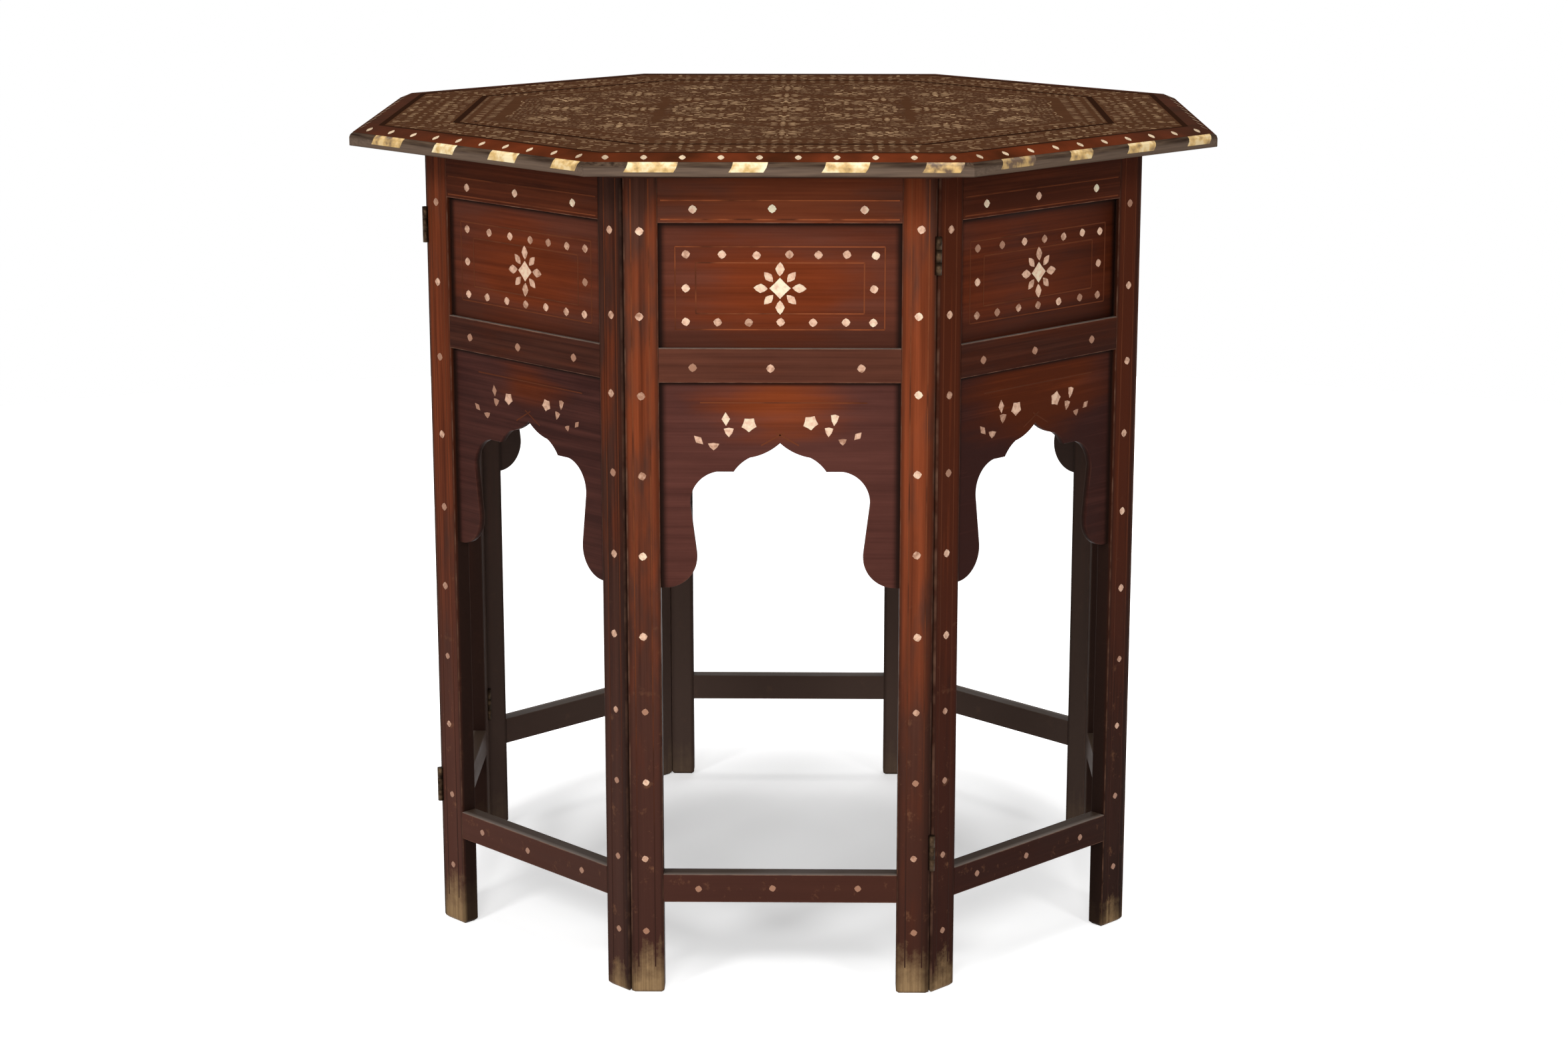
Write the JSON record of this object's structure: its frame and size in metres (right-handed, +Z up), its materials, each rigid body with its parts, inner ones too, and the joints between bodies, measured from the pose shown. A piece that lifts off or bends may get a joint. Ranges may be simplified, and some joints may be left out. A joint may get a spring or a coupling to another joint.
{
  "type": "octagonal folding table",
  "caption": "Inlaid octagonal occasional table: a lift-off inlaid top on a hinged, folding base of framed panels with cusped arches.",
  "frame": {"origin": "on the floor, on the table's upright middle axis", "axes": "+Z up, -Y towards the front panel, +X to the right seen from the front"},
  "size_m": [0.621, 0.621, 0.607],
  "materials": {
    "frame_wood": "worn polish",
    "panel_wood": "worn polish",
    "top_wood": "worn polish",
    "edging_wood": "ebonised, worn",
    "bone": "satin",
    "hinge_brass": "tarnished",
    "screw_iron": "dull"
  },
  "bodies": {
    "front_panel": {"front_panel_left_stile": "frame_wood", "front_panel_right_stile": "frame_wood", "front_panel_rails": "frame_wood", "front_panel_frieze_panel": "panel_wood", "front_panel_arch_panel": "panel_wood", "front_panel_hinges": "hinge_brass"},
    "front_right_panel": {"front_right_panel_left_stile": "frame_wood", "front_right_panel_right_stile": "frame_wood", "front_right_panel_rails": "frame_wood", "front_right_panel_frieze_panel": "panel_wood", "front_right_panel_arch_panel": "panel_wood", "front_right_panel_hinges": "hinge_brass"},
    "right_panel": {"right_panel_left_stile": "frame_wood", "right_panel_right_stile": "frame_wood", "right_panel_rails": "frame_wood", "right_panel_frieze_panel": "panel_wood", "right_panel_arch_panel": "panel_wood", "right_panel_hinges": "hinge_brass"},
    "back_right_panel": {"back_right_panel_left_stile": "frame_wood", "back_right_panel_right_stile": "frame_wood", "back_right_panel_rails": "frame_wood", "back_right_panel_frieze_panel": "panel_wood", "back_right_panel_arch_panel": "panel_wood", "back_right_panel_hinges": "hinge_brass"},
    "back_panel": {"back_panel_left_stile": "frame_wood", "back_panel_right_stile": "frame_wood", "back_panel_rails": "frame_wood", "back_panel_frieze_panel": "panel_wood", "back_panel_arch_panel": "panel_wood", "back_panel_hinges": "hinge_brass"},
    "back_left_panel": {"back_left_panel_left_stile": "frame_wood", "back_left_panel_right_stile": "frame_wood", "back_left_panel_rails": "frame_wood", "back_left_panel_frieze_panel": "panel_wood", "back_left_panel_arch_panel": "panel_wood", "back_left_panel_hinges": "hinge_brass"},
    "left_panel": {"left_panel_left_stile": "frame_wood", "left_panel_right_stile": "frame_wood", "left_panel_rails": "frame_wood", "left_panel_frieze_panel": "panel_wood", "left_panel_arch_panel": "panel_wood", "left_panel_hinges": "hinge_brass"},
    "front_left_panel": {"front_left_panel_left_stile": "frame_wood", "front_left_panel_right_stile": "frame_wood", "front_left_panel_rails": "frame_wood", "front_left_panel_frieze_panel": "panel_wood", "front_left_panel_arch_panel": "panel_wood", "front_left_panel_hinges": "hinge_brass"},
    "top": {"top_board": "top_wood", "top_edging": "edging_wood", "edging_blocks": "bone", "top_underframe": "frame_wood", "top_battens": "frame_wood", "batten_screws": "screw_iron"}
  },
  "joints": [
    {"name": "front_right_fold", "type": "hinge", "parent": "front_panel", "child": "front_right_panel", "pos_m": [0.10773, -0.26008, 0.3], "axis": [0, 0, -1], "range_deg": [0, 213]},
    {"name": "right_fold", "type": "hinge", "parent": "front_right_panel", "child": "right_panel", "pos_m": [0.24597, -0.10189, 0.3], "axis": [0, 0, 1], "range_deg": [0, 129]},
    {"name": "back_right_fold", "type": "hinge", "parent": "right_panel", "child": "back_right_panel", "pos_m": [0.26008, 0.10773, 0.3], "axis": [0, 0, -1], "range_deg": [0, 45]},
    {"name": "front_left_fold", "type": "hinge", "parent": "front_panel", "child": "front_left_panel", "pos_m": [-0.10189, -0.24597, 0.3], "axis": [0, 0, -1], "range_deg": [0, 129]},
    {"name": "left_fold", "type": "hinge", "parent": "front_left_panel", "child": "left_panel", "pos_m": [-0.26008, -0.10773, 0.3], "axis": [0, 0, 1], "range_deg": [0, 45]},
    {"name": "back_left_fold", "type": "hinge", "parent": "left_panel", "child": "back_left_panel", "pos_m": [-0.24597, 0.10189, 0.3], "axis": [0, 0, -1], "range_deg": [0, 129]},
    {"name": "back_fold", "type": "hinge", "parent": "back_left_panel", "child": "back_panel", "pos_m": [-0.10773, 0.26008, 0.3], "axis": [0, 0, 1], "range_deg": [0, 213]},
    {"name": "top_lift", "type": "slide", "parent": "front_panel", "child": "top", "axis": [0, 0, 1], "range_m": [0, 0.25]}
  ],
  "couplings": [
    {"joint": "right_fold", "follows": "front_right_fold", "ratio": 0.60563},
    {"joint": "back_right_fold", "follows": "front_right_fold", "ratio": 0.21127},
    {"joint": "front_left_fold", "follows": "front_right_fold", "ratio": 0.60563},
    {"joint": "left_fold", "follows": "front_right_fold", "ratio": 0.21127},
    {"joint": "back_left_fold", "follows": "front_right_fold", "ratio": 0.60563},
    {"joint": "back_fold", "follows": "front_right_fold", "ratio": 1}
  ]
}
